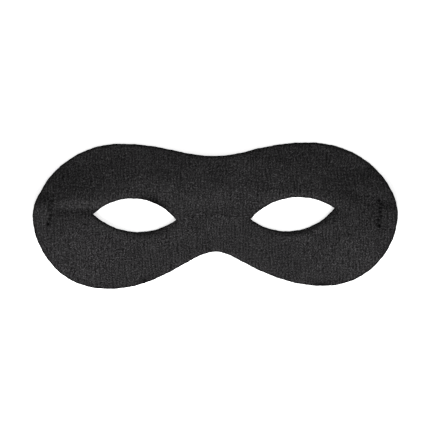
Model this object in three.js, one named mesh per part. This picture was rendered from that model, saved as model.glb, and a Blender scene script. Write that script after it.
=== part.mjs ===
// A domino eye mask lying face up by itself: one soft sheet, shaped like a lying figure of eight, with two
// almond eye holes, and the flat elastic strap that is sewn to the back of both its ends and tucked under
// the brow. Millimetres, +Z up. The origin is on the surface below the middle of the outline, +X runs along
// the mask to the right of its face, and +Y runs up to the brow.
import * as THREE from "three";
import { mergeVertices } from "three/addons/utils/BufferGeometryUtils.js";

// The sheet
const MASK_WIDTH = 200; // end to end
const MASK_HEIGHT = 79; // from the lowest of the cheeks to the highest of the brow
const BROW_DIP = 7.2; // how far the top edge dips over the nose
const NOSE_NOTCH = 19.3; // how far the bottom edge rises over the nose
const SHEET_THICKNESS = 2;
const EDGE_THICKNESS = 1.1; // where the cut has pressed the sheet together
const EDGE_ROUNDING = 2.4; // from a cut edge to the full thickness

// The eye holes
const EYE_LENGTH = 45.9; // corner to corner
const EYE_RISE = 9.5; // of the upper lid, over the line between the corners
const EYE_DROP = 8.9; // of the lower lid, under that line
const EYE_ACROSS = 43.2; // from the middle of the mask to the middle of an eye hole
const EYE_SLANT = 5.75; // degrees, with the outer corner up

// The strap
const STRAP_WIDTH = 10;
const STRAP_THICKNESS = 1;
const STRAP_EYE_GAP = 7.5; // from the height of an upper lid to the strap, at the middle of the brow
const STITCH_INSET = 10; // from an end of the mask to the row of stitches that holds the strap
const FOLD_REACH = 4; // from that row out to where the strap folds back under itself
const FOLD_GAP = 0.8; // between the two layers of the fold
const TAIL_LENGTH = 12; // of the sewn end, from the fold inwards
const SEAT_GAP = 0.3; // between the strap and the sheet that lies on it

// How the soft sheet settles over the strap
const SEAT_MARGIN = 1.5; // how far past the strap's edge the sheet stays at the strap's height
const RUN_DRAPE = 13; // from there to where it touches down beside a single layer
const FOLD_DRAPE = 25; // the same beside the folded ends, which lift it more

// Fineness of the mesh
const STATION_SPACING = 4.6; // along the outline
const SHEET_RINGS = 6; // bands between an eye hole and the outline, without the rounded edges
const ROUNDING_STEPS = 2;
const STRAP_SPACING = 4;
const FOLD_STEPS = 6;

const HALF_WIDTH = MASK_WIDTH / 2;
const HALF_HEIGHT = MASK_HEIGHT / 2;
const FOLD_HEIGHT = 2 * STRAP_THICKNESS + FOLD_GAP;

// Half of the outline, from the nose notch to the brow's dip. Each row is a place where the edge runs level
// or upright. The first of each pair is a share of half the width, the second of half the height. Before and
// after are how far the curve keeps its heading on each side of the place, as such shares.
const OUTLINE = [
  { place: "nose notch", at: [0, NOSE_NOTCH / HALF_HEIGHT - 1], heading: [1, 0], before: 0, after: 0.14 },
  { place: "cheek", at: [0.595, -1], heading: [1, 0], before: 0.32, after: 0.26 },
  { place: "end", at: [1, 0], heading: [0, 1], before: 0.42, after: 0.39 },
  { place: "brow crest", at: [0.525, 1], heading: [-1, 0], before: 0.28, after: 0.245 },
  { place: "brow dip", at: [0, 1 - BROW_DIP / HALF_HEIGHT], heading: [-1, 0], before: 0.175, after: 0 },
];

// The two eye holes aren't cut quite alike. Each column is a share of the size that it is named after, and
// up is one of half the height. The strap's row of stitches has its middle at rowUp, also a share of half
// the height.
const SIDES = [
  { side: -1, across: 1.02, up: -0.016, length: 0.99, rise: 1.07, drop: 0.92, slant: 0.8, rowUp: 0.1 },
  { side: 1, across: 0.977, up: 0.007, length: 1.01, rise: 0.935, drop: 1.075, slant: 1.2, rowUp: 0 },
];

// How far the strap keeps its heading at the fold and at the middle of the brow, as shares of half the
// width.
const STRAP_RUN = { afterFold: 0.16, beforeBrow: 0.68 };

// Ridges where the sheet puffs up beside the rows of stitches. From and to are shares of half the width,
// beside is measured from the row's middle as a share of the strap's width, and so is breadth, from the
// ridge's crest to its foot. Height is a share of the sheet's thickness.
const PUCKERS = [
  { side: -1, from: 0.96, to: 0.7, beside: 0.65, breadth: 0.75, height: 0.55 },
  { side: -1, from: 0.93, to: 0.72, beside: -0.6, breadth: 0.65, height: 0.42 },
  { side: 1, from: 0.94, to: 0.74, beside: 0.05, breadth: 1.2, height: 0.3 },
];

const CLOTH = new THREE.MeshStandardMaterial({ color: 0x2c2b2c, roughness: 0.95, metalness: 0 });
const ELASTIC = new THREE.MeshStandardMaterial({ color: 0x1c1c1e, roughness: 0.85, metalness: 0 });

// Both halves are worked out with x pointing outwards, and this turns that into the mask's own x.
function onSide(point, side) {
  point.x *= side;
  return point;
}

// How much of a bump is left at a distance past its flat top: 1 there, and 0 at its foot.
function falloff(distance, foot) {
  return 1 - THREE.MathUtils.smoothstep(distance, 0, foot);
}

// Two triangles, facing the way from which the four corners run counter-clockwise, or the other way.
function addQuad(corners, a, b, c, d, flip = false) {
  if (flip) corners.push(a, c, b, a, d, c);
  else corners.push(a, b, c, a, c, d);
}

// A mesh of those triangles, with shared corners.
function solidMesh(name, corners, material) {
  const geometry = mergeVertices(new THREE.BufferGeometry().setFromPoints(corners));
  geometry.computeVertexNormals();
  const mesh = new THREE.Mesh(geometry, material);
  mesh.name = name;
  return mesh;
}

// Half of the strap, from its sewn end through the fold to the middle of the brow. Each stop has the middle
// of the strap, the directions across it and square to its face, and the height of what is stacked there.
function strapHalf(row) {
  const rowHeight = HALF_HEIGHT * row.rowUp;
  const browHeight = EYE_RISE + STRAP_EYE_GAP + STRAP_WIDTH / 2;
  const fold = HALF_WIDTH - STITCH_INSET + FOLD_REACH;
  const bendRadius = (STRAP_THICKNESS + FOLD_GAP) / 2;
  const outwards = new THREE.Vector3(1, 0, 0);
  const upwards = new THREE.Vector3(0, 1, 0);
  const stops = [];
  const addStop = (at, along, across, height) => {
    const face = across.clone().cross(along);
    const turned = [at, across.clone(), face].map((vector) => onSide(vector, row.side));
    stops.push({ at: turned[0], across: turned[1], face: turned[2], height });
  };
  const tailSteps = Math.round(TAIL_LENGTH / STRAP_SPACING);
  const tailHeight = FOLD_HEIGHT - STRAP_THICKNESS / 2;
  for (let i = 0; i < tailSteps; i++) {
    const x = fold - TAIL_LENGTH * (1 - i / tailSteps);
    addStop(new THREE.Vector3(x, rowHeight, tailHeight), outwards, upwards, FOLD_HEIGHT);
  }
  for (let i = 0; i < FOLD_STEPS; i++) {
    const turn = Math.PI * i / FOLD_STEPS;
    const along = new THREE.Vector3(Math.cos(turn), 0, -Math.sin(turn));
    const height = FOLD_HEIGHT / 2 + bendRadius * along.x;
    addStop(new THREE.Vector3(fold - bendRadius * along.z, rowHeight, height), along, upwards, FOLD_HEIGHT);
  }
  const run = new THREE.CubicBezierCurve3(
    new THREE.Vector3(fold, rowHeight, STRAP_THICKNESS / 2),
    new THREE.Vector3(fold - HALF_WIDTH * STRAP_RUN.afterFold, rowHeight, STRAP_THICKNESS / 2),
    new THREE.Vector3(HALF_WIDTH * STRAP_RUN.beforeBrow, browHeight, STRAP_THICKNESS / 2),
    new THREE.Vector3(0, browHeight, STRAP_THICKNESS / 2),
  );
  const runSteps = Math.round(run.getLength() / STRAP_SPACING);
  for (let i = 0; i <= runSteps; i++) {
    const along = run.getTangentAt(i / runSteps);
    addStop(run.getPointAt(i / runSteps), along, new THREE.Vector3(along.y, -along.x, 0), STRAP_THICKNESS);
  }
  return stops;
}

function makeStrap(stops) {
  const sections = stops.map(({ at, across, face }) =>
    [[-1, -1], [1, -1], [1, 1], [-1, 1]].map(([side, level]) => at.clone()
      .addScaledVector(across, side * STRAP_WIDTH / 2)
      .addScaledVector(face, level * STRAP_THICKNESS / 2)));
  const corners = [];
  for (let i = 1; i < sections.length; i++) {
    const [last, next] = [sections[i - 1], sections[i]];
    last.forEach((corner, k) => addQuad(corners, corner, last[(k + 1) % 4], next[(k + 1) % 4], next[k]));
  }
  addQuad(corners, ...sections[0], true);
  addQuad(corners, ...sections.at(-1));
  return solidMesh("head_strap", corners, ELASTIC);
}

// The height of the sheet's underside: over the strap, sloping down beside it, and puffed up beside the
// stitches.
function undersideHeight(at, strapStops) {
  let height = 0;
  for (const stop of strapStops) {
    const past = Math.hypot(at.x - stop.at.x, at.y - stop.at.y) - STRAP_WIDTH / 2 - SEAT_MARGIN;
    const drape = stop.height > STRAP_THICKNESS ? FOLD_DRAPE : RUN_DRAPE;
    height = Math.max(height, (stop.height + SEAT_GAP) * falloff(past, drape));
  }
  for (const ridge of PUCKERS) {
    const row = SIDES.find(({ side }) => side === ridge.side);
    const outwards = at.x * ridge.side;
    const [near, far] = [ridge.to * HALF_WIDTH, ridge.from * HALF_WIDTH];
    const alongMiss = outwards - THREE.MathUtils.clamp(outwards, near, far);
    const acrossMiss = at.y - row.rowUp * HALF_HEIGHT - ridge.beside * STRAP_WIDTH;
    const miss = Math.hypot(alongMiss, acrossMiss);
    height += ridge.height * SHEET_THICKNESS * falloff(miss, ridge.breadth * STRAP_WIDTH);
  }
  return height;
}

// A point on an eye hole's lid, an arc over the line between the corners. Share 0 is the inner corner and 1
// the outer one, and depth is the arc's height, negative for the lower lid.
function lidPoint(eye, depth, share) {
  const half = EYE_LENGTH * eye.length / 2;
  const radius = (half * half + depth * depth) / (2 * depth);
  const turn = Math.asin(half / radius) * (2 * share - 1);
  const local = new THREE.Vector2(radius * Math.sin(turn), radius * (Math.cos(turn) - 1) + depth);
  local.rotateAround(new THREE.Vector2(), THREE.MathUtils.degToRad(EYE_SLANT * eye.slant));
  return local.add(new THREE.Vector2(EYE_ACROSS * eye.across, HALF_HEIGHT * eye.up));
}

// The outline's curves, one from each place to the next.
function outlineCurves() {
  const place = (row, reach = 0) => new THREE.Vector2(
    HALF_WIDTH * (row.at[0] + row.heading[0] * reach),
    HALF_HEIGHT * (row.at[1] + row.heading[1] * reach),
  );
  return OUTLINE.slice(1).map((row, i) => {
    const last = OUTLINE[i];
    const [leaving, arriving] = [place(last, last.after), place(row, -row.before)];
    return new THREE.CubicBezierCurve(place(last), leaving, arriving, place(row));
  });
}

// Stops along a row of curves, without the last one's end. Each has its place, its share of the whole way,
// and whether the way on from it is a cut edge.
function stopsAlong(legs) {
  const total = legs.reduce((sum, { curve }) => sum + curve.getLength(), 0);
  const stops = [];
  let behind = 0;
  for (const { curve, edge } of legs) {
    const length = curve.getLength();
    const steps = Math.max(1, Math.round(length / STATION_SPACING));
    for (let i = 0; i < steps; i++) {
      const share = (behind + length * i / steps) / total;
      stops.push({ outer: curve.getPointAt(i / steps), edge, share });
    }
    behind += length;
  }
  return stops;
}

// The stations round one half of the sheet. Each joins a point on the eye hole's edge to one on the half's
// own edge: from the middle line down to the nose notch, round the cheek, the end and the brow, and down the
// middle line again.
function halfStations(eye) {
  const curves = outlineCurves();
  const innerCorners = SIDES.map((side) => lidPoint(side, EYE_RISE, 0).y);
  const waist = new THREE.Vector2(0, (innerCorners[0] + innerCorners[1]) / 2);
  const notch = curves[0].v0;
  const dip = curves.at(-1).v3;
  const nearNotch = new THREE.Vector2(0, notch.y + EDGE_ROUNDING);
  const nearDip = new THREE.Vector2(0, dip.y - EDGE_ROUNDING);
  const line = (from, to) => ({ curve: new THREE.LineCurve(from, to), edge: false });
  const [cheek, lowerEnd, upperEnd, brow] = curves.map((curve) => ({ curve, edge: true }));
  const lower = stopsAlong([line(waist, nearNotch), line(nearNotch, notch), cheek, lowerEnd]);
  const upper = stopsAlong([upperEnd, brow, line(dip, nearDip), line(nearDip, waist)]);
  lower.forEach((stop) => (stop.inner = lidPoint(eye, -EYE_DROP * eye.drop, stop.share)));
  upper.forEach((stop) => (stop.inner = lidPoint(eye, EYE_RISE * eye.rise, 1 - stop.share)));
  const stations = [...lower, ...upper];
  stations.forEach((stop, i) => (stop.onEdge = stop.edge || stations.at(i - 1).edge));
  return stations;
}

// Points across the sheet at one station, from the eye hole's edge outwards, on its underside or on its
// face.
function pointsAcross(station, side, strapStops, isFace) {
  const steps = isFace ? ROUNDING_STEPS : 1;
  const span = station.outer.distanceTo(station.inner);
  const rounding = Array.from({ length: steps + 1 }, (_, i) =>
    EDGE_ROUNDING * (1 - Math.cos(Math.PI / 2 * i / steps)));
  const bands = Array.from({ length: SHEET_RINGS - 1 }, (_, i) =>
    THREE.MathUtils.lerp(EDGE_ROUNDING, span - EDGE_ROUNDING, (i + 1) / SHEET_RINGS));
  const distances = [...rounding, ...bands, ...rounding.map((distance) => span - distance).reverse()];
  return distances.map((distance) => {
    const at = onSide(station.inner.clone().lerp(station.outer, distance / span), side);
    const toEdge = station.onEdge ? Math.min(distance, span - distance) : distance;
    const rounded = Math.max(0, 1 - toEdge / EDGE_ROUNDING);
    const fullness = Math.sqrt(1 - rounded * rounded);
    const thickness = THREE.MathUtils.lerp(EDGE_THICKNESS, SHEET_THICKNESS, fullness);
    return new THREE.Vector3(at.x, at.y, undersideHeight(at, strapStops) + (isFace ? thickness : 0));
  });
}

function makeMask(strapStops) {
  const corners = [];
  for (const eye of SIDES) {
    const mirrored = eye.side < 0;
    const stations = halfStations(eye);
    const faces = stations.map((station) => pointsAcross(station, eye.side, strapStops, true));
    const backs = stations.map((station) => pointsAcross(station, eye.side, strapStops, false));
    stations.forEach((station, i) => {
      const next = (i + 1) % stations.length;
      for (const [grid, flip] of [[faces, mirrored], [backs, !mirrored]]) {
        for (let k = 1; k < grid[i].length; k++) {
          addQuad(corners, grid[i][k - 1], grid[i][k], grid[next][k], grid[next][k - 1], flip);
        }
      }
      addQuad(corners, backs[i][0], backs[next][0], faces[next][0], faces[i][0], !mirrored);
      if (!station.edge) return;
      addQuad(corners, backs[i].at(-1), backs[next].at(-1), faces[next].at(-1), faces[i].at(-1), mirrored);
    });
  }
  return solidMesh("mask", corners, CLOTH);
}

const [leftStrap, rightStrap] = SIDES.map(strapHalf);
const strapStops = [...leftStrap, ...rightStrap.slice(0, -1).reverse()];
const domino = new THREE.Group();
domino.add(makeMask(strapStops), makeStrap(strapStops));
export default domino;
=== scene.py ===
import math
from collections import namedtuple

import bpy
import numpy as np
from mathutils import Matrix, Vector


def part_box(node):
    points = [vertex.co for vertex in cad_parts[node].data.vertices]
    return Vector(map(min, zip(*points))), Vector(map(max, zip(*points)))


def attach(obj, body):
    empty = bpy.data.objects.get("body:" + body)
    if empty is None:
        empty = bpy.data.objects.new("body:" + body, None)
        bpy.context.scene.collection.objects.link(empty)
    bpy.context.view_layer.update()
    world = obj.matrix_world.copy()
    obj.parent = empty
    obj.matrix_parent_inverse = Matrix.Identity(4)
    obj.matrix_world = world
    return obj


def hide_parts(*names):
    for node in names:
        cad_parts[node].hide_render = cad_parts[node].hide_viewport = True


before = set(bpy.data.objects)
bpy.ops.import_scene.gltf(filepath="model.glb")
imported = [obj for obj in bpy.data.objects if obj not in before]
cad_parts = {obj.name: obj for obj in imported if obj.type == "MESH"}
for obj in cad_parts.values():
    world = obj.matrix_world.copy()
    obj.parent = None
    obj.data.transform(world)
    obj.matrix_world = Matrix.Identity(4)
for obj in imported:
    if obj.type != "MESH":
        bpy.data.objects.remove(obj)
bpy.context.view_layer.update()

bl_info = {
    "name": "Domino Eye Mask",
    "version": (1, 0, 0),
    "blender": (4, 5, 0),
    "location": "View3D > Sidebar > Domino",
    "description": "Makes the cloth, stitches, cut edges and elastic strap of a domino eye mask",
    "category": "Mesh",
}

MM = 0.001
MASK_LOW, MASK_HIGH = (np.array(corner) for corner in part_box("mask"))
HALF_WIDTH = (MASK_HIGH[0] - MASK_LOW[0]) / 2
HALF_HEIGHT = (MASK_HIGH[1] - MASK_LOW[1]) / 2

# The sheet
CURVE_POINTS = 400  # on each cubic curve
LID_POINTS = 100  # on a lid, for the eye hole's area
MIDDLE_FADE = 6 * MM  # from the middle line out, to where a cut strays in full
LIFT_BLEND = 0.3 * MM  # rounds the sheet where two lifts of it cross
DRAPE_BLEND = 6 * MM  # where the drape below the folded ends turns into the one above
BULGE_FOOT = 2  # where a roll's bulge ends behind it, in times its way in

# Painted shade on the cloth
CUT_INSET = 0.1 * MM  # outside a cut edge, where the painted shade would be darkest
NICK_SHADE, NICK_FLATNESS = 0.85, 2  # how dark the painted shade at a nick is, and its length over its height
STITCH_SHADE, FULLY_PRESSED = 0.9, 0.8 * MM  # the same for the painted shade along a row of stitches, and the groove depth at which it is full

# The stitches
GROOVE_REACH, PIT_REACH = 1.7 * MM, 1.2 * MM  # from a row and a hole to where the face is in full
GROOVE_SPACING = 0.5 * MM  # of the points along a row
STITCH_STOPS, STITCH_SIDES = 13, 8
STITCH_ENDS, STITCH_TAPER = 0.06, 0.08  # shares of a stitch: left out at a hole, and off its thin ends
STITCH_ARCH, STITCH_SUNK = 0.5, 0.35  # shares of the thread, up in the middle and down as a whole

# The strap
STRAP_ROW_UP = {-1: 0.1, 1: 0.0}  # where the strap is sewn on, as a share of half the height
AFTER_FOLD, BEFORE_BROW = 0.16, 0.68  # how far it keeps its heading, as shares of half the width
CORD_POINTS = 6  # across each cord
CORD_VALLEY = 0.16  # how far the band thins between two cords, as a share of its thickness
EDGE_THINNING, EDGE_SHARPNESS = 0.97, 16  # how far the edges are rounded off, and how suddenly
LEVEL = 0.001  # the steepest heading that still counts as flat

# The fibres
FIBRE_STOPS, FIBRE_SIDES = 5, 3
ROOT_DEPTH, ROOT_SCATTER = 0.3 * MM, 0.15 * MM
ROOT_HEIGHTS = (0.3, 1.25)  # lowest and highest, in times the edge's thickness
FIBRE_LENGTHS, LENGTH_POWER = (0.35, 1), 1.5  # shares of a long fibre, more of them short
FIBRE_TAPER = 0.7  # the share of its thickness that is lost by its tip
LEAN = 0.9  # the spread of how far a fibre leans along the edge
FIRST_LEAN, FIRST_RISE = 0.4, (0.1, 0.35)  # the lean it sets off with, and its rise, mean and spread
THEN_OUT, THEN_RISE = 0.7, (-0.1, 0.5)  # how far out it goes on, and its further rise

# The stage
TABLE_EDGES, TABLE_TOP = (-3.0, 3.0), -0.05 * MM
BOX_ASIDE = -10 * MM  # where the soft box stands along the mask
SENSOR_WIDTH = 36.0  # the camera's, in millimetres
PHOTO_MIDDLE = (-0.16 * MM, -0.05 * MM)  # what the middle of the photo looks down on

# Half of the outline, from the nose notch to the brow's dip, by the places where the edge runs level or
# upright. Across and up are shares of half the width and half the height, and so are before and after, which
# are how far the curve keeps its heading on each side of the place.
Place = namedtuple("Place", "name across up heading before after")

# The two eye holes and rows of stitches aren't quite alike. Across, length, rise, drop and slant are shares
# of the sizes that they are named after, and up is one of half the height. The holes are where the needle
# went through, from the row's foot to its top, in millimetres, and the pulls are how hard the thread presses
# at the foot and at the top.
Side = namedtuple("Side", "side across up length rise drop slant holes foot_pull top_pull")
LEFT_HOLES = (
    (-91.2, -3.8), (-90.4, -0.9), (-89.8, 1.0), (-89.9, 4.1), (-90.4, 6.6), (-89.0, 9.0), (-88.6, 12.0),
)
RIGHT_HOLES = (
    (89.4, -6.5), (89.0, -3.4), (90.5, -1.3), (90.1, 1.0), (90.0, 3.1), (90.8, 5.3), (89.5, 7.1),
)
SIDES = (
    Side(-1, 1.02, -0.016, 0.985, 1.045, 0.912, 0.8, LEFT_HOLES, 1.05, 0.45),
    Side(1, 0.977, 0.007, 1.003, 0.91, 1.06, 1.2, RIGHT_HOLES, 1.0, 0.75),
)

# Ridges of the lying sheet: the two ends of the crest, how high it is, and how far its foot is above it,
# below it and past its ends, all in millimetres.
Ridge = namedtuple("Ridge", "name start end height above below past")
RELIEF = (
    Ridge("pucker over the left row", (-82, 9.5), (-65, 9.8), 2.0, 20, 6, 8),
    Ridge("pucker under the left row", (-85, -0.8), (-68, -0.6), 1.1, 5, 40, 7),
    Ridge("flap outside the left row", (-97, 6.0), (-92, 6.3), 2.2, 7.5, 12, 5),
    Ridge("swell right of the right eye", (74, -1.5), (86, -2.0), 1.2, 15, 44, 10),
    Ridge("swell over the right eye's corner", (58, 11), (72, 8), 1.2, 15, 9, 10),
    Ridge("blister over the right row", (81, 14.5), (89, 13.5), 0.8, 12, 5.5, 6),
    Ridge("flap outside the right row", (93, 0.5), (97, 0.5), 1.2, 6, 10, 4),
    Ridge("swell over the left brow", (-52, 17), (-34, 19), 0.7, 12, 10, 14),
    Ridge("bow over the nose", (-22, 17), (-2, 17), 1.6, 20, 34, 18),
)

# Where a cut edge is rolled down, or up with a depth below nothing: the edge, the middle of the stretch, how
# far it reaches along the edge and in from it, how far the edge is down, and how high the sheet stands up
# behind it, in millimetres.
Roll = namedtuple("Roll", "name edge middle along inwards depth bulge")
ROLLS = (
    Roll("left eye's lower lid", "eye", (-30, -8.8), 25, 4.4, 0.95, 0.55),
    Roll("right eye's lower lid", "eye", (47, -8.7), 17, 3.2, 1.05, 0.8),
    Roll("right eye's outer lower lid", "eye", (59, -3.6), 9, 3.2, 0.8, 0.7),
    Roll("left eye's upper lid", "eye", (-31, 5.5), 18, 3.6, -3.0, 0),
    Roll("left eye's outer upper lid", "eye", (-55, 7.0), 16, 4, 0.5, 0.1),
    Roll("right eye's upper lid", "eye", (40, 9.0), 22, 4, 0.55, 0.3),
    Roll("right half of the brow", "outline", (62, 38.0), 50, 4, 0.6, 0),
    Roll("left end over its row", "outline", (-94, 13.0), 11, 8, 0.95, 0),
    Roll("right half of the bottom edge", "outline", (60, -39), 44, 4.5, -0.9, 0),
    Roll("left half of the bottom edge", "outline", (-60, -39), 60, 2.5, -0.5, 0),
    Roll("left nick", "outline", (-38.9, -34.7), 6, 2.8, -0.9, 0),
    Roll("right nick", "outline", (57.0, -38.9), 7, 2.6, -0.9, 0),
)

# Where the cut strays from the drawn outline: the middle of the stretch, how far it reaches along the edge,
# and how far out the edge is there, in millimetres.
Stray = namedtuple("Stray", "name middle reach out")
STRAYS = (
    Stray("left end", (-99, 3), 28, -0.35),
    Stray("left end over its row", (-95, 15), 12, -0.25),
    Stray("left cheek's outer side", (-81, -33), 22, 0.5),
    Stray("left cheek", (-52, -39), 28, 0.5),
    Stray("right of the nose notch", (16, -25), 24, 0.6),
    Stray("right end", (99, 2), 26, -0.45),
    Stray("right brow", (61, 39), 28, -0.5),
    Stray("brow right of the dip", (23, 36), 9, 0.25),
)

# Where shade is painted at a nick in a cut edge, darkening the cloth: the middle of the stretch and how far
# it reaches, in millimetres.
ShadedNick = namedtuple("ShadedNick", "name middle reach")
SHADED_NICKS = (
    ShadedNick("left nick", (-38.9, -35.4), 4.0),
    ShadedNick("right nick", (57.0, -39.3), 4.0),
)

# How a cut edge wobbles: waves of these pitches, in millimetres, each a share of the edge wobble high.
Wave = namedtuple("Wave", "pitch share")
WAVES = (Wave(1.7, 0.25), Wave(2.9, 0.4), Wave(5.3, 0.6), Wave(11, 0.8))

# The two sides of the sheet's mesh: the steps round a cut edge, and how many rings make one band.
Layer = namedtuple("Layer", "name rounding_steps rings_to_band")
LAYERS = (Layer("face", 7, 1), Layer("back", 3, 4))

# How much of each thing in the knit goes into the cloth's tone and into its height.
# In the tone, the bright specks are painted glints of light off single fibres.
TONE = {"grain": 1.6, "fuzz": 0.9, "clouds": 0.27, "coarse": 1.0, "painted_glints": 0.9, "wale": 0.15}
HEIGHT = {"grain": 2.4, "coarse": 0.7, "wale": 0.4, "fuzz": 0.7}
BASE_TONE = 0.205


def eased(share):
    """0 below 0, 1 above 1, and a smooth S between: three squares less two cubes."""
    share = np.clip(share, 0, 1)
    return share * share * (3 - 2 * share)


def falloff(distance, foot):
    """How much of a bump is left past its flat top: 1 there and 0 at its foot."""
    return 1 - eased(distance / foot)


def near_to(points, middle, reach):
    """1 at a place of the plan and 0 that far from it. The place and the reach are in millimetres."""
    return falloff(np.linalg.norm(points - np.array(middle) * MM, axis=1), reach * MM)


def rounder_of(first, second, blend):
    """The larger of two heights, rounded where they cross: half of their sum, and half of the root of their
    squared difference and the blend's square, less the blend."""
    return (first + second + np.sqrt((first - second) ** 2 + blend * blend) - blend) / 2


def bezier(a, b, c, d, count):
    """A cubic curve from a to d that leaves towards b and arrives from c, by the four Bernstein weights."""
    t = np.linspace(0, 1, count)[:, None]
    s = 1 - t
    return s**3 * a + 3 * s * s * t * b + 3 * s * t * t * c + t**3 * d


def unit(ways):
    """The same ways with a length of 1."""
    return ways / np.linalg.norm(ways, axis=-1, keepdims=True)


def length_along(line):
    """The way walked from a line's first point to each of its points."""
    steps = np.linalg.norm(np.diff(line, axis=0), axis=1)
    return np.concatenate([[0], np.cumsum(steps)])


def evenly(line, spacing):
    """Points on a line at even steps of about that spacing, both ends included."""
    along = length_along(line)
    stops = np.linspace(0, along[-1], max(1, round(along[-1] / spacing)) + 1)
    return np.stack([np.interp(stops, along, line[:, k]) for k in range(line.shape[1])], axis=1)


def gap_to(points, line):
    """From each point of the plan to the nearest point of a line, seen from above."""
    return np.hypot(points[:, :1] - line[:, 0], points[:, 1:] - line[:, 1]).min(axis=1)


def in_scene(name, data):
    """A new object of the scene, which shows those data."""
    made = bpy.data.objects.new(name, data)
    bpy.context.scene.collection.objects.link(made)
    return made


def new_piece(name, points, faces, material, uv=None, unshaded=None):
    """A smooth piece of those points and quads, at the origin. A uv row and a share of unshaded colour go
    with each point, below 1 where shade is painted.
    """
    mesh = bpy.data.meshes.new(name)
    mesh.from_pydata(points, [], faces)
    mesh.shade_smooth()
    if uv is not None:
        corners = np.zeros(len(mesh.loops), np.int32)
        mesh.loops.foreach_get("vertex_index", corners)
        layer = mesh.uv_layers.new(name="along")
        layer.data.foreach_set("uv", uv[corners].astype(np.float32).ravel())
    if unshaded is not None:
        mesh.attributes.new("unshaded", "FLOAT", "POINT").data.foreach_set("value", unshaded.astype(np.float32))
    mesh.materials.append(material)
    piece = in_scene(name, mesh)
    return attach(piece, "root")


def grid_quads(rows, columns, wrap_rows=False, wrap_columns=False):
    """Corner numbers of the quads of a grid of points numbered row by row."""
    i = np.arange(rows if wrap_rows else rows - 1)[:, None]
    k = np.arange(columns if wrap_columns else columns - 1)[None, :]
    next_i, next_k = (i + 1) % rows, (k + 1) % columns
    corners = (i * columns + k, i * columns + next_k, next_i * columns + next_k, next_i * columns + k)
    return np.stack([np.broadcast_to(c, (i.size, k.size)).ravel() for c in corners], axis=1)


def tubes(lines, radii, sides):
    """Closed tubes of that many sides: lines is tubes by stops by xyz, and radii is tubes by stops. Each
    stop's ring lies square to the line there, turned from a slanting direction that no line follows, and the
    ends are flat fans."""
    count, stops, _ = lines.shape
    heading = unit(np.gradient(lines, axis=1))
    aside = unit(np.cross(heading, np.array([0.31, 0.17, 0.94])))
    upward = np.cross(heading, aside)
    turn = np.linspace(0, 2 * np.pi, sides, endpoint=False)
    ring = aside[:, :, None] * np.cos(turn)[:, None] + upward[:, :, None] * np.sin(turn)[:, None]
    points = (lines[:, :, None] + ring * radii[:, :, None, None]).reshape(-1, 3)
    wall = grid_quads(stops, sides, wrap_columns=True)
    offsets = np.arange(count)[:, None, None] * stops * sides
    quads = (wall[None, :, ::-1] + offsets).reshape(-1, 4)
    start = np.arange(sides)[None]
    caps = [start + offsets[:, 0], start[:, ::-1] + offsets[:, 0] + (stops - 1) * sides]
    return points, [*quads.tolist(), *np.vstack(caps).tolist()]


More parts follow.
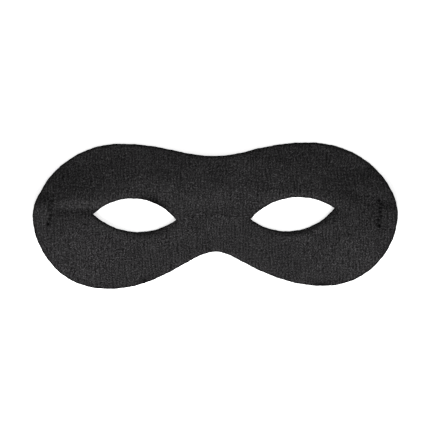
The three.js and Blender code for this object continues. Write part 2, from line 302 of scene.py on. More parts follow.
class Sheet:
    """The lying sheet from the panel's sizes: the outline, the eye holes and the heights of both sides."""

    def __init__(self, scene):
        self.cloth = scene.domino_cloth
        self.strap = scene.domino_strap
        self.stitches = scene.domino_stitches
        self.curves = self.outline_curves()
        self.holes = {side: np.array(side.holes) * MM for side in SIDES}

    def outline_curves(self):
        """The right half's outline as four cubic curves, each from one place to the next."""
        notch_up = self.cloth.nose_notch / HALF_HEIGHT - 1
        dip_up = 1 - self.cloth.brow_dip / HALF_HEIGHT
        places = (
            Place("nose notch", 0, notch_up, (1, 0), 0, 0.14),
            Place("cheek", 0.595, -1, (1, 0), 0.32, 0.26),
            Place("end", 1, 0, (0, 1), 0.42, 0.39),
            Place("brow crest", 0.525, 1, (-1, 0), 0.28, 0.245),
            Place("brow dip", 0, dip_up, (-1, 0), 0.175, 0),
        )
        half = np.array([HALF_WIDTH, HALF_HEIGHT])
        curves = []
        for place, following in zip(places, places[1:]):
            start, end = (np.array([p.across, p.up]) * half for p in (place, following))
            leaving = start + np.array(place.heading) * half * place.after
            arriving = end - np.array(following.heading) * half * following.before
            curves.append(bezier(start, leaving, arriving, end, CURVE_POINTS))
        return curves

    def lid(self, side, depth, share):
        """Points on a lid, a circle's arc over the line between the corners: share 0 is the inner corner
        and 1 the outer one, and depth is the arc's height, below nothing for the lower lid. x points away
        from the nose."""
        half = self.cloth.eye_length * side.length / 2
        radius = (half * half + depth * depth) / (2 * depth)
        turn = math.asin(half / radius) * (2 * np.asarray(share) - 1)
        along, over = radius * np.sin(turn), radius * (np.cos(turn) - 1) + depth
        slant = self.cloth.eye_slant * side.slant
        x = self.cloth.eye_across * side.across + along * math.cos(slant) - over * math.sin(slant)
        y = HALF_HEIGHT * side.up + along * math.sin(slant) + over * math.cos(slant)
        return np.stack([x, y], axis=-1)

    def stations(self, side, spacing):
        """Pairs of points round one half, on the eye hole's edge and on the half's own edge, with x away
        from the nose, and which of the ways on from them are cut edges: down the middle line to the nose
        notch, round the cheek, the end and the brow, and down the middle line to the waist."""
        waist_y = np.mean([self.lid(s, self.cloth.eye_rise, 0)[1] for s in SIDES])
        rounding = self.cloth.edge_rounding
        notch, dip = self.curves[0][0], self.curves[-1][-1]
        waist = np.array([0, waist_y])
        near_notch, near_dip = notch + [0, rounding], dip - [0, rounding]
        cheek, lower_end, upper_end, brow = self.curves
        legs = {
            -1: ((np.array([waist, near_notch]), False), (np.array([near_notch, notch]), False),
                 (cheek, True), (lower_end, True)),
            1: ((upper_end, True), (brow, True),
                (np.array([dip, near_dip]), False), (np.array([near_dip, waist]), False)),
        }
        outer, inner, edge = [], [], []
        for direction, path in legs.items():
            parts = [evenly(line, spacing)[:-1] for line, _ in path]
            points = np.vstack([*parts, path[-1][0][-1:]])
            share = length_along(points)[:-1] / length_along(points)[-1]
            if direction > 0:
                inner.append(self.lid(side, self.cloth.eye_rise * side.rise, 1 - share))
            else:
                inner.append(self.lid(side, -self.cloth.eye_drop * side.drop, share))
            outer.append(points[:-1])
            edge += [np.full(len(part), cut) for part, (_, cut) in zip(parts, path)]
        inner, outer = np.vstack(inner), np.vstack(outer)
        return inner, outer + self.strayed(inner, outer, side), np.concatenate(edge)

    def strayed(self, inner, outer, side):
        """How far the outline's points move away from the eye hole where the cut strays."""
        plan = outer * [side.side, 1]
        out = sum(stray.out * MM * near_to(plan, stray.middle, stray.reach) for stray in STRAYS)
        return unit(outer - inner) * (out * eased(outer[:, 0] / MIDDLE_FADE))[:, None]

    def strap_stops(self):
        """The strap's middle line and the height stacked at each of its points: the sewn end, the fold, and
        the run to the other end over the middle of the brow."""
        strap = self.strap
        fold_height = 2 * strap.thickness + strap.fold_gap
        radius = (strap.thickness + strap.fold_gap) / 2
        fold = HALF_WIDTH - strap.stitch_inset + strap.fold_reach
        brow = self.cloth.eye_rise + strap.eye_gap + strap.width / 2
        leaving, arriving = fold - AFTER_FOLD * HALF_WIDTH, BEFORE_BROW * HALF_WIDTH
        halves = []
        for side in SIDES:
            row = HALF_HEIGHT * STRAP_ROW_UP[side.side]
            tail_x = evenly(np.array([[fold - strap.tail], [fold]]), strap.spacing)[:-1, 0]
            tail = np.stack(np.broadcast_arrays(tail_x, row, fold_height - strap.thickness / 2), axis=1)
            turn = np.linspace(0, np.pi, strap.fold_steps, endpoint=False)
            bend_x, bend_z = fold + radius * np.sin(turn), fold_height / 2 + radius * np.cos(turn)
            bend = np.stack(np.broadcast_arrays(bend_x, row, bend_z), axis=1)
            handles = np.array([[fold, row], [leaving, row], [arriving, brow], [0, brow]])
            run = evenly(bezier(*handles, CURVE_POINTS), strap.spacing)
            run = np.column_stack([run, np.full(len(run), strap.thickness / 2)])
            line = np.vstack([tail, bend, run]) * [side.side, 1, 1]
            stack = np.where(np.arange(len(line)) < len(tail) + len(bend), fold_height, strap.thickness)
            halves.append((line, stack))
        (left, left_stack), (right, right_stack) = halves
        return np.vstack([left, right[-2::-1]]), np.concatenate([left_stack, right_stack[-2::-1]])

    def back(self, points):
        """The height of the sheet's back: over the strap, sloping down beside it, plus the ridges."""
        cloth = self.cloth
        stops, stack = self.strap_stops()
        folded = stack > self.strap.thickness
        over = eased(points[:, 1] / DRAPE_BLEND + 0.5)
        end_drape = cloth.low_drape + (cloth.fold_drape - cloth.low_drape) * over
        stretches = (
            (folded & (stops[:, 0] < 0), end_drape),
            (folded & (stops[:, 0] > 0), end_drape),
            (~folded, cloth.run_drape),
        )
        height = np.zeros(len(points))
        for stretch, drape in stretches:
            past = gap_to(points, stops[stretch]) - self.strap.width / 2 - cloth.seat_margin
            lift = (stack[stretch][0] + cloth.seat_gap) * falloff(past, drape)
            height = rounder_of(height, lift, LIFT_BLEND)
        for ridge in RELIEF:
            height += self.ridge_height(points, ridge)
        return np.maximum(height, 0)

    def ridge_height(self, points, ridge):
        """A ridge by the way from its crest line, as shares of its feet: sideways, and past its ends."""
        start, end = np.array(ridge.start) * MM, np.array(ridge.end) * MM
        length = np.linalg.norm(end - start)
        heading = (end - start) / length
        along = (points - start) @ heading
        sideways = (points - start) @ [-heading[1], heading[0]]
        foot = np.where(sideways > 0, ridge.above, ridge.below) * MM
        past = np.maximum(np.maximum(-along, along - length), 0) / (ridge.past * MM)
        return ridge.height * MM * falloff(np.hypot(past, sideways / foot), 1)

    def pressed(self, points):
        """How far the stitches press the face in: a groove along each row, and a pit at each hole."""
        depth = np.zeros(len(points))
        for side, holes in self.holes.items():
            share = np.clip((points[:, 1] - holes[0, 1]) / (holes[-1, 1] - holes[0, 1]), 0, 1)
            pull = side.foot_pull + (side.top_pull - side.foot_pull) * share
            row = evenly(holes, GROOVE_SPACING)
            depth += pull * self.stitches.groove * falloff(gap_to(points, row), GROOVE_REACH)
            depth += pull * self.stitches.pit * falloff(gap_to(points, holes), PIT_REACH)
        return depth

    def rolled(self, points, from_eye, from_outline):
        """How far the rolls raise the sheet, at an edge rolled up and behind one rolled down, and how far
        the face alone is rolled down at its edges."""
        edges = {"eye": from_eye, "outline": from_outline}
        up, down = np.zeros(len(points)), np.zeros(len(points))
        for roll in ROLLS:
            near = near_to(points, roll.middle, roll.along) * MM
            gap = edges[roll.edge] / (roll.inwards * MM)
            at_edge = near * np.clip(1 - gap, 0, 1) ** 2
            behind = near * eased(gap) * falloff(gap - 1, BULGE_FOOT)
            up += max(-roll.depth, 0) * at_edge + roll.bulge * behind
            down += max(roll.depth, 0) * at_edge
        return up, down

    def face(self, points, from_eye, from_outline):
        """The sheet's thickness: a quarter circle up from each cut edge, less the rolls and the rows."""
        cloth = self.cloth
        near = np.clip(np.minimum(from_eye, from_outline) / cloth.edge_rounding, 0, 1)
        full = cloth.edge_thickness + (cloth.thickness - cloth.edge_thickness) * np.sqrt(1 - (1 - near) ** 2)
        _, down = self.rolled(points, from_eye, from_outline)
        return full - down - self.pressed(points)

    def unshaded(self, points, from_eye, from_outline):
        """How far the cloth keeps its own colour: 1 on open cloth, less where shade is painted at cut edges,
        in nicks and under the thread.
        """
        unshaded = eased((np.minimum(from_eye, from_outline) + CUT_INSET) / self.cloth.edge_shade_reach)
        # Painted shade at each nick.
        for nick in SHADED_NICKS:
            miss = points - np.array(nick.middle) * MM
            gap = np.hypot(miss[:, 0], NICK_FLATNESS * miss[:, 1])
            unshaded = unshaded * (1 - NICK_SHADE * falloff(gap, nick.reach * MM))
        # Painted shade along the rows of stitches, darkest where the groove is pressed deepest.
        return unshaded * (1 - STITCH_SHADE * np.clip(self.pressed(points) / FULLY_PRESSED, 0, 1))


def wobble(edge, rng):
    """How far a cut edge strays at each of its points, as a share of the edge wobble: a few sines of the way
    along it, each from a start of its own."""
    along = length_along(edge)
    return sum(
        wave.share * np.sin(2 * np.pi * along / (wave.pitch * MM) + rng.uniform(0, 2 * np.pi))
        for wave in WAVES
    )


def make_cloth(sheet):
    """The mask's points, quads and shares of unshaded colour, below 1 where shade is painted: for each half,
    a grid of stations round the eye hole by rings out to its edge, on the face and on the back, with walls
    along the cut edges. The halves share the points of the middle line."""
    cloth = sheet.cloth
    rng = np.random.default_rng(4)
    points, quads, unshaded_parts, shared, first_half, offset = [], [], [], [], {}, 0
    for side in SIDES:
        inner, outer, cut = sheet.stations(side, cloth.spacing)
        on_edge = cut | np.roll(cut, 1)
        ray = unit(outer - inner)
        fade = eased(outer[:, 0] / MIDDLE_FADE)
        inner = inner + ray * (wobble(inner, rng) * cloth.edge_wobble)[:, None]
        outer = outer + ray * (wobble(outer, rng) * fade * cloth.edge_wobble)[:, None]
        outer[~on_edge, 0] = 0
        span = np.linalg.norm(outer - inner, axis=1)
        grids = {}
        for layer in LAYERS:
            turn = np.linspace(0, np.pi / 2, layer.rounding_steps + 1)
            near = np.broadcast_to(cloth.edge_rounding * (1 - np.cos(turn)), (len(span), len(turn)))
            even = np.linspace(0, 1, cloth.rings // layer.rings_to_band + 1)[1:-1]
            middle = cloth.edge_rounding + (span[:, None] - 2 * cloth.edge_rounding) * even
            distance = np.hstack([near, middle, span[:, None] - near[:, ::-1]])
            plan = inner[:, None] + (outer - inner)[:, None] * (distance / span[:, None])[..., None]
            plan = plan.reshape(-1, 2)
            from_eye, from_outline = gap_to(plan, inner), gap_to(plan, outer[on_edge])
            plan = plan * [side.side, 1]
            up, _ = sheet.rolled(plan, from_eye, from_outline)
            height = sheet.back(plan) + up
            if layer.name == "face":
                height = height + sheet.face(plan, from_eye, from_outline)
            points.append(np.column_stack([plan, height]))
            unshaded_parts.append(sheet.unshaded(plan, from_eye, from_outline))
            rows, columns = distance.shape
            numbers = offset + np.arange(rows * columns).reshape(rows, columns)
            grids[layer.name] = numbers
            around = grid_quads(rows, columns, wrap_rows=True) + offset
            quads.append(around if (layer.name == "face") == (side.side > 0) else around[:, ::-1])
            middle_line = np.flatnonzero(outer[:, 0] == 0)
            if side.side < 0:
                first_half[layer.name] = numbers[middle_line, -1]
            else:
                shared.append(np.stack([numbers[middle_line, -1], first_half[layer.name]], axis=1))
            offset += rows * columns
        for ring, which in ((0, np.ones(len(cut), bool)), (-1, cut)):
            i = np.flatnonzero(which)
            j = (i + 1) % len(cut)
            back, face = grids["back"][:, ring], grids["face"][:, ring]
            wall = np.stack([back[i], back[j], face[j], face[i]], axis=1)
            quads.append(wall if (ring == -1) == (side.side > 0) else wall[:, ::-1])
    points, quads, shared = np.vstack(points), np.vstack(quads), np.vstack(shared)
    same = np.arange(len(points))
    same[shared[:, 0]] = shared[:, 1]
    kept, numbers = np.unique(same[quads], return_inverse=True)
    return points[kept], numbers.reshape(-1, 4), np.concatenate(unshaded_parts)[kept]


class Shader:
    """A material's nodes, made one by one."""

    def __init__(self, name):
        self.material = bpy.data.materials.new(name)
        self.material.use_nodes = True
        self.nodes = self.material.node_tree.nodes
        self.links = self.material.node_tree.links
        self.nodes.clear()

    def add(self, kind, settings=None, inputs=None, output=0):
        """A node of that kind, with its settings first and then the values or wires of its sockets."""
        node = self.nodes.new(kind)
        for name, value in (settings or {}).items():
            setattr(node, name, value)
        for name, value in (inputs or {}).items():
            if isinstance(value, Wire):
                self.links.new(value.socket, node.inputs[name])
            else:
                node.inputs[name].default_value = value
        return Wire(self, node.outputs[output]) if node.outputs else node

    def noise(self, place, size, stretch=1.0, detail=2.0, roughness=0.5):
        """Cloudy values about 0.5 whose clouds are about that wide, and stretch times that tall."""
        scale = (1 / size, 1 / (size * stretch), 1 / size)
        spread = self.add("ShaderNodeMapping", {"vector_type": "POINT"}, {"Vector": place, "Scale": scale})
        sizes = {"Vector": spread, "Scale": 1.0, "Detail": detail, "Roughness": roughness}
        return self.add("ShaderNodeTexNoise", {"noise_dimensions": "3D"}, sizes, "Fac")

    def mix(self, share, first, second):
        """A colour between two, by share."""
        settings = {"data_type": "RGBA", "clamp_factor": True}
        return self.add("ShaderNodeMix", settings, {0: share, 6: first, 7: second}, 2)

    def bump(self, height, strength, depth):
        """The normals of a surface with those heights, which are that deep."""
        return self.add("ShaderNodeBump", None, {"Height": height, "Strength": strength, "Distance": depth})

    def finish(self, **inputs):
        """The material, with a Principled surface of those inputs, whose names have _ for a blank."""
        named = {name.replace("_", " "): value for name, value in inputs.items()}
        surface = self.add("ShaderNodeBsdfPrincipled", None, named)
        self.add("ShaderNodeOutputMaterial", None, {"Surface": surface})
        return self.material


class Wire:
    """A node's output. Its sums are Math nodes."""

    def __init__(self, shader, socket):
        self.shader, self.socket = shader, socket

    def math(self, operation, *others):
        inputs = dict(enumerate((self, *others)))
        return self.shader.add("ShaderNodeMath", {"operation": operation}, inputs)

    def __add__(self, other):
        return self.math("ADD", other)

    def __sub__(self, other):
        return self.math("SUBTRACT", other)

    def __rsub__(self, other):
        return self.shader.add("ShaderNodeMath", {"operation": "SUBTRACT"}, {0: other, 1: self})

    def __mul__(self, other):
        return self.math("MULTIPLY", other)

    __radd__ = __add__
    __rmul__ = __mul__

    def sine(self):
        return self.math("SINE")

    def part(self, axis):
        """One part of a vector."""
        return self.shader.add("ShaderNodeSeparateXYZ", None, {"Vector": self}, axis)

    def above(self, level, width):
        """0 below a level, 1 above level plus width, and even between."""
        ends = {"Value": self, "From Min": level, "From Max": level + width}
        return self.shader.add("ShaderNodeMapRange", {"interpolation_type": "LINEAR", "clamp": True}, ends)


# The cloudy patterns in the knit: how wide a cloud is, in millimetres, how many times it is as tall, and how
# much finer detail is in it and how strong that is.
Cloud = namedtuple("Cloud", "name size stretch detail roughness")
CLOUDS = (
    Cloud("sway of the ribs and rows", 7, 2.0, 2.0, 0.5),
    Cloud("drift of the wales", 2.4, 1.0, 2.0, 0.5),
    Cloud("whole ribs", 2.4, 1.2, 1.0, 0.5),
    # Painted glints: bright specks in the colour that stand for light off single fibres.
    Cloud("painted_glints", 0.5, 1.5, 0.0, 0.5),
    Cloud("fuzz", 0.11, 2.5, 3.0, 0.65),
    Cloud("clouds", 9, 1.0, 3.0, 0.6),
)
RIB_WANDER, RIB_JITTER, COURSE_WANDER = 22, 5, 24  # how far they sway, in radians of their waves
LOOP_SLANT, LOOP_DRIFT = 2.8, 5  # the same for a wale's loops
RIBS, FEWEST_RIBS, COURSES, CHECKS = 0.2, 0.02, 0.1, 0.07  # what ribs, rows and both together add


def cloth_material(cloth):
    """Brushed knit: fine wales of slanted loops, coarser ribs and rows that wander and break up, clumps of
    raised nap with bright specks of painted glint, soft clouds, and a thin sheen. At cut edges, in nicks and
    along the rows of stitches, painted shade makes the cloth nearly black."""
    shader = Shader("mask_cloth")
    place = shader.add("ShaderNodeTexCoord", output="Object")
    unshaded_layer = {"attribute_type": "GEOMETRY", "attribute_name": "unshaded"}
    unshaded = shader.add("ShaderNodeAttribute", unshaded_layer, None, "Fac")
    x, y = place.part("X"), place.part("Y")
    sway, drift, whole, painted_glints, fuzz, clouds = (
        shader.noise(place, cloud.size * MM, cloud.stretch, cloud.detail, cloud.roughness)
        for cloud in CLOUDS
    )
    sway, whole = sway - 0.5, whole.above(0.36, 0.3)
    grain = shader.noise(place, cloth.grain_size, 1.1, 1.0, 0.5) - 0.5
    rib = (x * (2 * math.pi / cloth.rib_pitch) + sway * RIB_WANDER + grain * RIB_JITTER).sine()
    course = (y * (2 * math.pi / cloth.course_pitch) + sway * COURSE_WANDER).sine()
    in_wale = (x * (1 / cloth.wale) + drift).math("FRACT")
    beside = (in_wale - 0.5).math("ABSOLUTE") * 2
    loop = (y * (2 * math.pi / cloth.loop) + beside * LOOP_SLANT + drift * LOOP_DRIFT).sine()
    ribs = rib * (whole * RIBS + FEWEST_RIBS)
    parts = {
        "grain": grain,
        "fuzz": fuzz - 0.5,
        "clouds": clouds - 0.5,
        "coarse": ribs + course * ((1 - whole) * COURSES) + rib * course * CHECKS,
        # Painted glints: the brightest specks of a fine noise, added to the colour.
        "painted_glints": painted_glints.above(0.64, 0.1),
        "wale": (loop * 0.5 + 0.5) * (1 - beside.math("POWER", 3)),
    }
    tone = sum(parts[name] * share for name, share in TONE.items()) + BASE_TONE
    open_cloth = shader.mix(tone, (*cloth.dark, 1), (*cloth.light, 1))
    # Painted shade: below 1, the colour goes towards the near-black cut colour at cut edges, nicks and rows
    # of stitches.
    colour = shader.mix(unshaded, (*cloth.cut, 1), open_cloth)
    height = sum(parts[name] * share for name, share in HEIGHT.items())
    bump = shader.bump(height, 0.6, 0.35 * MM)
    return shader.finish(
        Base_Color=colour, Roughness=0.92, Normal=bump, Specular_IOR_Level=0.06,
        Sheen_Weight=0.02, Sheen_Roughness=0.45, Sheen_Tint=(0.75, 0.75, 0.8, 1))


def thread_material(stitches):
    """Black sewing thread: two plies that wind round each other, with a low gloss."""
    shader = Shader("sewing_thread")
    place = shader.add("ShaderNodeTexCoord", output="Object")
    plies = shader.noise(place, 0.12 * MM, 3.0)
    colour = shader.mix(plies, (*[0.5 * c for c in stitches.colour], 1), (*stitches.colour, 1))
    bump = shader.bump(plies, 0.6, 0.05 * MM)
    return shader.finish(Base_Color=colour, Roughness=0.6, Normal=bump, Specular_IOR_Level=0.3)


def elastic_material(strap):
    """Woven elastic: fine picks across the band over lengthwise cords, by the band's own uv in metres."""
    shader = Shader("strap_elastic")
    uv = shader.add("ShaderNodeUVMap", {"uv_map": "along"}, None, "UV")
    across, along = uv.part("X"), uv.part("Y")
    cords = (across * (2 * math.pi * strap.cords / strap.width)).sine()
    picks = (along * (2 * math.pi / strap.pick_pitch) + cords * 1.2).sine()
    wear = shader.noise(uv, 1.3 * MM, 2.0)
    tone = picks * 0.3 + cords * 0.15 + (wear - 0.5) * 1.2 + 0.5
    colour = shader.mix(tone, (*[0.45 * c for c in strap.colour], 1), (*strap.colour, 1))
    bump = shader.bump(picks + cords * 0.4, 0.5, 0.08 * MM)
    return shader.finish(
        Base_Color=colour, Roughness=0.7, Normal=bump, Specular_IOR_Level=0.3, Sheen_Weight=0.1)


def floor_material(stage):
    """A plain white table top that glows a little, so that it stays white round dark cloth."""
    shader = Shader("white_table")
    return shader.finish(
        Base_Color=(*stage.floor, 1), Roughness=0.9, Emission_Color=(1, 1, 1, 1),
        Emission_Strength=stage.table_glow)


def number_of(name, default, description, **options):
    """A plain number, shown in the panel."""
    return bpy.props.FloatProperty(name=name, description=description, default=default, **options)


def size_of(name, millimetres, description):
    """A length, shown in the panel."""
    return number_of(name, millimetres * MM, description, min=0, unit="LENGTH", precision=5)


def count_of(name, default, description):
    """A whole number of things, shown in the panel."""
    return bpy.props.IntProperty(name=name, description=description, default=default, min=1)


def colour_of(name, default, description):
    """A colour, shown in the panel."""
    return bpy.props.FloatVectorProperty(
        name=name, description=description, default=default, subtype="COLOR", size=3, min=0, max=1)


class DominoCloth(bpy.types.PropertyGroup):
    thickness: size_of("Sheet thickness", 2, "The cloth-faced foam sheet, away from its edges")
    edge_thickness: size_of("Edge thickness", 1.1, "The sheet where the cut pressed it together")
    edge_rounding: size_of("Edge rounding", 2.4, "From a cut edge to the full thickness")
    edge_wobble: size_of("Edge wobble", 0.08, "How far a cut edge strays from its line")
    # Painted shade: how far in from a cut edge the colour is darkened.
    edge_shade_reach: size_of("Cut edge shade", 1.6, "How far in from a cut edge the nap is still pressed down")
    brow_dip: size_of("Brow dip", 7.2, "How far the top edge dips over the nose")
    nose_notch: size_of("Nose notch", 19.3, "How far the bottom edge rises over the nose")
    eye_length: size_of("Eye length", 45.9, "An eye hole from corner to corner")
    eye_rise: size_of("Eye rise", 9.5, "The upper lid over the line between the corners")
    eye_drop: size_of("Eye drop", 8.9, "The lower lid under that line")
    eye_across: size_of("Eye across", 43.2, "From the middle of the mask to the middle of an eye hole")
    eye_slant: number_of("Eye slant", math.radians(5.75), "How far its outer corner is up", subtype="ANGLE")
    seat_gap: size_of("Seat gap", 0.3, "Between the strap and the sheet on it")
    seat_margin: size_of("Seat margin", 1.5, "How far past the strap the sheet keeps its height")
    run_drape: size_of("Run drape", 13, "From there to where it touches down beside one layer of strap")
    fold_drape: size_of("Fold drape", 25, "The same above the folded ends")
    low_drape: size_of("Low drape", 42, "The same below them")
    rib_pitch: size_of("Rib pitch", 1.75, "From one rib of the knit to the next")
    course_pitch: size_of("Course pitch", 1.65, "From one row of the knit to the next")
    wale: size_of("Wale", 0.62, "From one upright line of loops to the next")
    loop: size_of("Loop", 0.5, "The height of a loop")
    grain_size: size_of("Grain size", 0.52, "The clumps of the nap")
    spacing: size_of("Point spacing", 0.58, "Between the mesh's points round the outline")
    rings: count_of("Rings", 52, "Bands of the mesh from an eye hole to the outline")
    dark: colour_of("Shade", (0.0021, 0.0020, 0.0021), "The cloth between its yarns")
    light: colour_of("Nap", (0.0475, 0.0462, 0.0475), "The cloth's raised nap")
    # Painted shade: the near-black colour at cut edges, nicks and rows of stitches, and of the loose fibres.
    cut: colour_of("Cut", (0.0015, 0.0015, 0.0015), "The cloth where it is cut or pressed")


class DominoStrap(bpy.types.PropertyGroup):
    width: size_of("Width", 10, "The elastic's width")
    thickness: size_of("Thickness", 1, "The elastic's thickness")
    eye_gap: size_of("Eye gap", 7.5, "From an upper lid's height to the strap, at mid-brow")
    stitch_inset: size_of("Stitch inset", 10, "From an end of the mask to the row of stitches")
    fold_reach: size_of("Fold reach", 4, "From the row out to the fold")
    fold_gap: size_of("Fold gap", 0.8, "Between the two layers of the fold")
    tail: size_of("Tail", 12, "The sewn end, from the fold inwards")
    pick_pitch: size_of("Pick pitch", 0.55, "From one cross thread of the weave to the next")
    spacing: size_of("Point spacing", 0.9, "Between the mesh's points along the strap")
    fold_steps: count_of("Fold steps", 14, "Steps of the mesh round a fold")
    cords: count_of("Cords", 11, "Rubber cords side by side in the band")
    colour: colour_of("Colour", (0.02, 0.02, 0.021), "The elastic's colour")


class DominoStitches(bpy.types.PropertyGroup):
    thread: size_of("Thread", 0.42, "The sewing thread's thickness")
    groove: size_of("Groove", 0.6, "How far a row of stitches pulls the face in")
    pit: size_of("Pit", 0.7, "How much further the face sinks at a needle hole")
    colour: colour_of("Colour", (0.006, 0.006, 0.0065), "The thread's colour")


class DominoFibres(bpy.types.PropertyGroup):
    every: size_of("Every", 0.6, "The way along a cut edge from one loose fibre to the next")
    length: size_of("Length", 0.42, "A long fibre's length")
    thickness: size_of("Thickness", 0.05, "A fibre's thickness at its root")


class DominoStage(bpy.types.PropertyGroup):
    floor: colour_of("Table", (0.92, 0.92, 0.92), "The table top's colour")
    table_glow: number_of("Table glow", 0.62, "Light out of the table top")
    room_light: number_of("Room light", 0.5, "Even light from all round")
    soft_box: number_of("Soft box", 1.65, "Power of the low soft box")
    box_width: size_of("Soft box width", 200, "The soft box's width")
    box_depth: size_of("Soft box depth", 120, "The soft box's other side")
    box_away: size_of("Soft box away", 230, "From the mask's middle to the soft box, along the table")
    box_height: size_of("Soft box height", 130, "From the table up to it")
    photo_width: size_of("Photo width", 235.6, "What the photo's whole width takes in, on the table")
    lens: number_of("Lens", 135.0, "Focal length", unit="CAMERA")
    turn: number_of("Turn", math.radians(0.62), "How the mask lies in the photo", subtype="ANGLE")


def area_inside(line):
    """The area inside a line whose ends meet or lie on the middle line, by the shoelace rule."""
    return abs(np.sum(line[:-1, 0] * line[1:, 1] - line[1:, 0] * line[:-1, 1])) / 2


class MESH_OT_domino_cloth(bpy.types.Operator):
    """Make the mask's cloth sheet with its eye holes, puckers and pressed rows"""
    bl_idname = "mesh.domino_cloth"
    bl_label = "Cloth Sheet"

    def execute(self, context):
        sheet = Sheet(context.scene)
        cloth = sheet.cloth
        points, quads, unshaded = make_cloth(sheet)
        piece = new_piece("cloth_sheet", points, quads, cloth_material(cloth), unshaded=unshaded)
        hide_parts("mask")
        area = 2 * area_inside(np.vstack([curve[:-1] for curve in sheet.curves]))
        share = np.linspace(0, 1, LID_POINTS)
        for side in SIDES:
            upper = sheet.lid(side, cloth.eye_rise * side.rise, share)
            lower = sheet.lid(side, -cloth.eye_drop * side.drop, share[::-1])
            area -= area_inside(np.vstack([upper, lower]))
        return {"FINISHED"}


class MESH_OT_domino_stitches(bpy.types.Operator):
    """Sew the two rows of stitches that hold the strap's ends"""
    bl_idname = "mesh.domino_stitches"
    bl_label = "Rows of Stitches"

    def execute(self, context):
        sheet = Sheet(context.scene)
        stitches = sheet.stitches
        share = np.linspace(0, 1, STITCH_STOPS)
        between = STITCH_ENDS + (1 - 2 * STITCH_ENDS) * share
        rise = (STITCH_ARCH * np.sin(np.pi * share) - STITCH_SUNK) * stitches.thread
        lines = []
        for holes in sheet.holes.values():
            plan = holes[:-1, None] + np.diff(holes, axis=0)[:, None] * between[None, :, None]
            flat = plan.reshape(-1, 2)
            far = np.ones(len(flat))
            face = sheet.back(flat) + sheet.face(flat, far, far)
            lines.append(np.dstack([plan, face.reshape(plan.shape[:2]) + rise]))
        lines = np.vstack(lines)
        taper = np.sqrt(np.sin(np.pi * (STITCH_TAPER + (1 - 2 * STITCH_TAPER) * share)))
        radii = np.broadcast_to(stitches.thread / 2 * taper, lines.shape[:2])
        points, faces = tubes(lines, radii, STITCH_SIDES)
        piece = new_piece("stitching", points, faces, thread_material(stitches))
        return {"FINISHED"}


class MESH_OT_domino_fibres(bpy.types.Operator):
    """Let short loose fibres stand out of the cut edges"""
    bl_idname = "mesh.domino_fibres"
    bl_label = "Loose Fibres"

    def execute(self, context):
        fibres = context.scene.domino_fibres
        sheet = Sheet(context.scene)
        rng = np.random.default_rng(11)
        roots, outwards = [], []
        for side in SIDES:
            inner, outer, cut = sheet.stations(side, fibres.every)
            all_round = np.ones(len(cut), bool)
            for edge, away, keep in ((inner, inner - outer, all_round), (outer, outer - inner, cut)):
                roots.append((edge - unit(away) * ROOT_DEPTH)[keep] * [side.side, 1])
                outwards.append(unit(away)[keep] * [side.side, 1])
        roots, outwards = np.vstack(roots), np.vstack(outwards)
        count = len(roots)
        roots = roots + rng.normal(0, ROOT_SCATTER, (count, 2))
        height = sheet.back(roots) + sheet.cloth.edge_thickness * rng.uniform(*ROOT_HEIGHTS, count)
        sideways = np.stack([-outwards[:, 1], outwards[:, 0]], axis=1) * rng.normal(0, LEAN, (count, 1))
        length = fibres.length * rng.uniform(*FIBRE_LENGTHS, (count, 1)) ** LENGTH_POWER
        first = np.column_stack([outwards + FIRST_LEAN * sideways, rng.normal(*FIRST_RISE, count)])
        then = np.column_stack([THEN_OUT * outwards + sideways, rng.normal(*THEN_RISE, count)])
        share = np.linspace(0, 1, FIBRE_STOPS)[None, :, None]
        start = np.column_stack([roots, height])[:, None]
        lines = start + length[:, None] * (first[:, None] * share + then[:, None] * share**2 / 2)
        lines[..., 2] = np.maximum(lines[..., 2], fibres.thickness)
        radii = np.broadcast_to(fibres.thickness / 2 * (1 - FIBRE_TAPER * share[..., 0]), lines.shape[:2])
        points, faces = tubes(lines, radii, FIBRE_SIDES)
        # The fibres carry no shade attribute, so they take the near-black colour of the painted shade.
        piece = new_piece("edge_fibres", points, faces, bpy.data.materials["mask_cloth"])
        return {"FINISHED"}


class MESH_OT_domino_strap(bpy.types.Operator):
    """Weave the elastic strap along its way under the mask"""
    bl_idname = "mesh.domino_strap"
    bl_label = "Elastic Strap"

    def execute(self, context):
        strap = context.scene.domino_strap
        line, _ = Sheet(context.scene).strap_stops()
        heading = unit(np.gradient(line, axis=0))
        flat = np.abs(heading[:, 2]) < LEVEL
        level = np.column_stack([-heading[:, 1], heading[:, 0], np.zeros(len(line))])
        middle_part = flat & (line[:, 2] < strap.thickness)
        across = unit(np.where(middle_part[:, None], level, [0, 1, 0]))
        face = unit(np.cross(heading, across))
        share = np.linspace(-1, 1, CORD_POINTS * strap.cords + 1)
        valley = CORD_VALLEY * np.cos(np.pi * strap.cords * (share + 1) / 2) ** 2
        rounded = np.sqrt(1 - EDGE_THINNING * share**EDGE_SHARPNESS)
        thick = strap.thickness / 2 * (1 - valley) * rounded
        side = np.concatenate([share, share[::-1]]) * strap.width / 2
        up = np.concatenate([-thick, thick[::-1]])
        points = line[:, None] + across[:, None] * side[None, :, None] + face[:, None] * up[None, :, None]
        along = length_along(line)
        uv = np.stack(np.broadcast_arrays(side[None, :], along[:, None]), axis=2).reshape(-1, 2)
        count = len(side)
        quads = grid_quads(len(line), count, wrap_columns=True)
        caps = [np.arange(count)[::-1].tolist(), (np.arange(count) + (len(line) - 1) * count).tolist()]
        faces = [*quads.tolist(), *caps]
        piece = new_piece("woven_strap", points.reshape(-1, 3), faces, elastic_material(strap), uv)
        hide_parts("head_strap")
        return {"FINISHED"}


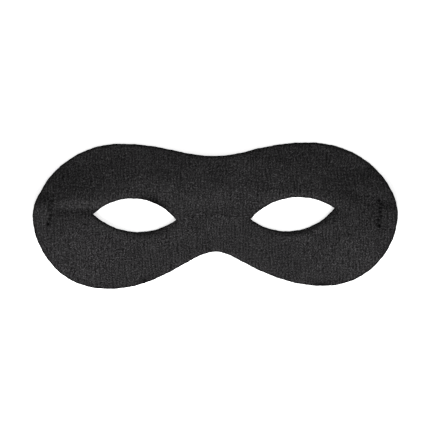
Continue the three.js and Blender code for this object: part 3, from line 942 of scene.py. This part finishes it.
class SCENE_OT_domino_stage(bpy.types.Operator):
    """Set the table, the light and the camera of the photo"""
    bl_idname = "scene.domino_stage"
    bl_label = "Stage"

    def execute(self, context):
        scene = context.scene
        stage = scene.domino_stage
        scene.view_settings.view_transform = "Standard"
        mesh = bpy.data.meshes.new("table")
        corners = [(x, y, TABLE_TOP) for y in TABLE_EDGES for x in TABLE_EDGES]
        mesh.from_pydata(corners, [], [(0, 1, 3, 2)])
        mesh.materials.append(floor_material(stage))
        table = in_scene("table", mesh)
        world = bpy.data.worlds.new("room")
        world.use_nodes = True
        light = world.node_tree.nodes["Background"].inputs
        light["Color"].default_value = (1, 1, 1, 1)
        light["Strength"].default_value = stage.room_light
        scene.world = world
        lamp = bpy.data.lights.new("soft_box", "AREA")
        lamp.shape = "RECTANGLE"
        lamp.size, lamp.size_y = stage.box_width, stage.box_depth
        lamp.energy = stage.soft_box
        soft_box = in_scene("soft_box", lamp)
        soft_box.location = (BOX_ASIDE, -stage.box_away, stage.box_height)
        soft_box.rotation_euler = (math.atan2(stage.box_away, stage.box_height), 0, 0)
        view = bpy.data.cameras.new("photo_camera")
        view.lens, view.sensor_width = stage.lens, SENSOR_WIDTH
        camera = in_scene("photo_camera", view)
        camera.location = (*PHOTO_MIDDLE, stage.photo_width * stage.lens / view.sensor_width)
        camera.rotation_euler = (0, 0, -stage.turn)
        scene.camera = camera
        return {"FINISHED"}


class VIEW3D_PT_domino(bpy.types.Panel):
    bl_label = "Domino Eye Mask"
    bl_space_type = "VIEW_3D"
    bl_region_type = "UI"
    bl_category = "Domino"

    def draw(self, context):
        for name, group, operator in PANEL:
            box = self.layout.box()
            box.operator(operator.bl_idname)
            for setting in group.__annotations__:
                box.prop(getattr(context.scene, name), setting)


PANEL = (
    ("domino_cloth", DominoCloth, MESH_OT_domino_cloth),
    ("domino_stitches", DominoStitches, MESH_OT_domino_stitches),
    ("domino_fibres", DominoFibres, MESH_OT_domino_fibres),
    ("domino_strap", DominoStrap, MESH_OT_domino_strap),
    ("domino_stage", DominoStage, SCENE_OT_domino_stage),
)


def register():
    for name, group, operator in PANEL:
        bpy.utils.register_class(group)
        setattr(bpy.types.Scene, name, bpy.props.PointerProperty(type=group))
        bpy.utils.register_class(operator)
    bpy.utils.register_class(VIEW3D_PT_domino)


def unregister():
    bpy.utils.unregister_class(VIEW3D_PT_domino)
    for name, group, operator in reversed(PANEL):
        bpy.utils.unregister_class(operator)
        delattr(bpy.types.Scene, name)
        bpy.utils.unregister_class(group)


def main():
    register()
    bpy.ops.mesh.domino_cloth()
    bpy.ops.mesh.domino_stitches()
    bpy.ops.mesh.domino_fibres()
    bpy.ops.mesh.domino_strap()
    bpy.ops.scene.domino_stage()


if __name__ == "__main__":
    main()
